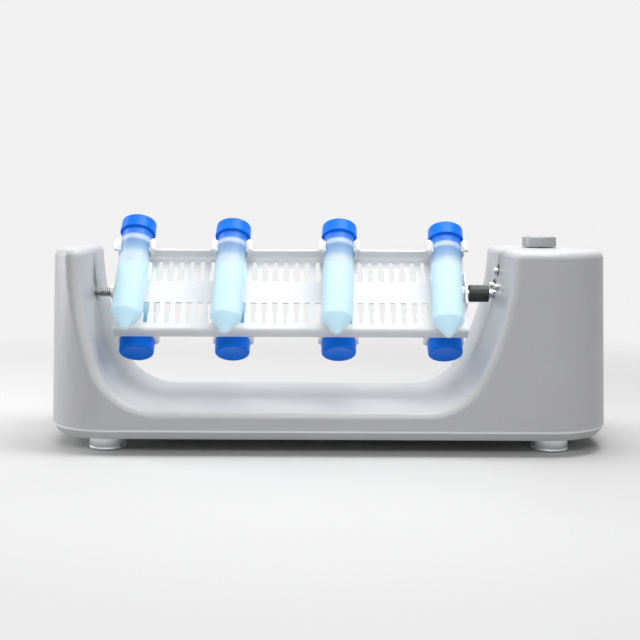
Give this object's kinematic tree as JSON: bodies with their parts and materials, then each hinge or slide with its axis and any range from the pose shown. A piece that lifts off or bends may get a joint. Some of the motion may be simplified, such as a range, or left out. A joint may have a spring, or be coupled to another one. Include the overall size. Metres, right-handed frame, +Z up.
{
  "type": "tube rotator",
  "caption": "Bench rotator with a U-shaped housing, a sprung pivot, a slotted tube rack on a driven shaft, snap clips and capped tubes, a speed knob and a grey base on round feet.",
  "frame": {"origin": "on the table under the middle of the housing", "axes": "+X along the rack from the idle column to the drive column, +Y to the back, +Z up"},
  "size_m": [0.522, 0.165, 0.2177],
  "materials": {
    "housing": "fine satin moulded plastic, light grey white",
    "base": "satin moulded plastic, mid grey",
    "foot_metal": "turned and anodised silver",
    "foot_rubber": "matt black rubber",
    "zinc_screw": "zinc plated",
    "bush_brass": "turned brass",
    "bush_white": "turned acetal, light grey",
    "shaft_steel": "ground steel",
    "spring_steel": "drawn spring steel",
    "rack_white": "white powder coat",
    "clip_white": "smooth white nylon",
    "tube_clear": "frosted translucent polypropylene",
    "cap_blue": "bright blue moulded plastic",
    "liquid": "clear pale cyan liquid",
    "coupling_black": "black oxide",
    "gear_nylon": "natural nylon",
    "plate_zinc": "zinc plated sheet",
    "motor_metal": "drawn steel can",
    "black_plastic": "black moulded plastic",
    "face_screw": "polished steel",
    "washer_black": "black fibre washer",
    "control_body": "pressed metal case",
    "knob_grey": "grey moulded plastic",
    "board_green": "green circuit board",
    "rocker_black": "black moulded plastic"
  },
  "bodies": {
    "base": {"housing_shell": "housing", "base_tray": "base", "feet": "foot_metal", "foot_pads": "foot_rubber", "foot_screws": "zinc_screw", "base_screws": "zinc_screw", "pivot_bush": "bush_white", "gear_front_plate": "plate_zinc", "gear_rear_plate": "plate_zinc", "gear_posts": "plate_zinc", "output_bushes": "bush_brass", "motor_can": "motor_metal", "motor_end_cap": "black_plastic", "inner_screws": "zinc_screw", "face_screws": "face_screw", "face_washers": "washer_black", "speed_control": "control_body", "control_nut": "plate_zinc", "control_board": "board_green", "switch_frame": "black_plastic", "inlet_socket": "black_plastic", "inlet_pin": "plate_zinc", "inlet_nut": "plate_zinc"},
    "rotor": {"tube_rack": "rack_white", "rack_end_plates": "rack_white", "idler_socket": "bush_brass", "stub_shaft": "shaft_steel", "hub_rivets": "zinc_screw", "front_clips": "clip_white", "rear_clips": "clip_white", "front_tube_1": "tube_clear", "front_tube_2": "tube_clear", "front_tube_3": "tube_clear", "front_tube_4": "tube_clear", "front_cap_1": "cap_blue", "front_cap_2": "cap_blue", "front_cap_3": "cap_blue", "front_cap_4": "cap_blue", "rear_tube_1": "tube_clear", "rear_tube_2": "tube_clear", "rear_tube_3": "tube_clear", "rear_tube_4": "tube_clear", "rear_cap_1": "cap_blue", "rear_cap_2": "cap_blue", "rear_cap_3": "cap_blue", "rear_cap_4": "cap_blue", "sample_liquid": "liquid", "coupling_sleeve": "coupling_black", "coupling_screws": "zinc_screw", "output_shaft": "shaft_steel", "drive_gear": "gear_nylon"},
    "pinion": {"motor_pinion": "bush_brass", "motor_shaft": "shaft_steel"},
    "knob": {"speed_knob": "knob_grey", "control_shaft": "shaft_steel"},
    "rocker": {"power_rocker": "rocker_black"},
    "pin": {"pivot_pin": "shaft_steel", "pin_circlip": "spring_steel", "pivot_spring": "spring_steel"}
  },
  "joints": [
    {"name": "rotor_spin", "type": "hinge", "parent": "base", "child": "rotor", "pos_m": [0, 0, 0.141], "axis": [1, 0, 0], "continuous": true},
    {"name": "pinion_spin", "type": "hinge", "parent": "base", "child": "pinion", "pos_m": [0, 0, 0.111], "axis": [1, 0, 0], "continuous": true},
    {"name": "knob_turn", "type": "hinge", "parent": "base", "child": "knob", "pos_m": [0.211, 0.027, 0.186], "axis": [0, 0, 1], "range_deg": [-270, 0]},
    {"name": "rocker_tip", "type": "hinge", "parent": "base", "child": "rocker", "pos_m": [0.187, 0.0765, 0.072], "axis": [0, 0, 1], "range_deg": [-16, 0]},
    {"name": "pin_slide", "type": "slide", "parent": "base", "child": "pin", "axis": [-1, 0, 0], "range_m": [0, 0.007], "stiffness_N_per_m": 400, "springref_m": -0.005, "deforming": ["pivot_spring"]}
  ],
  "couplings": [
    {"joint": "pinion_spin", "follows": "rotor_spin", "ratio": -3}
  ]
}
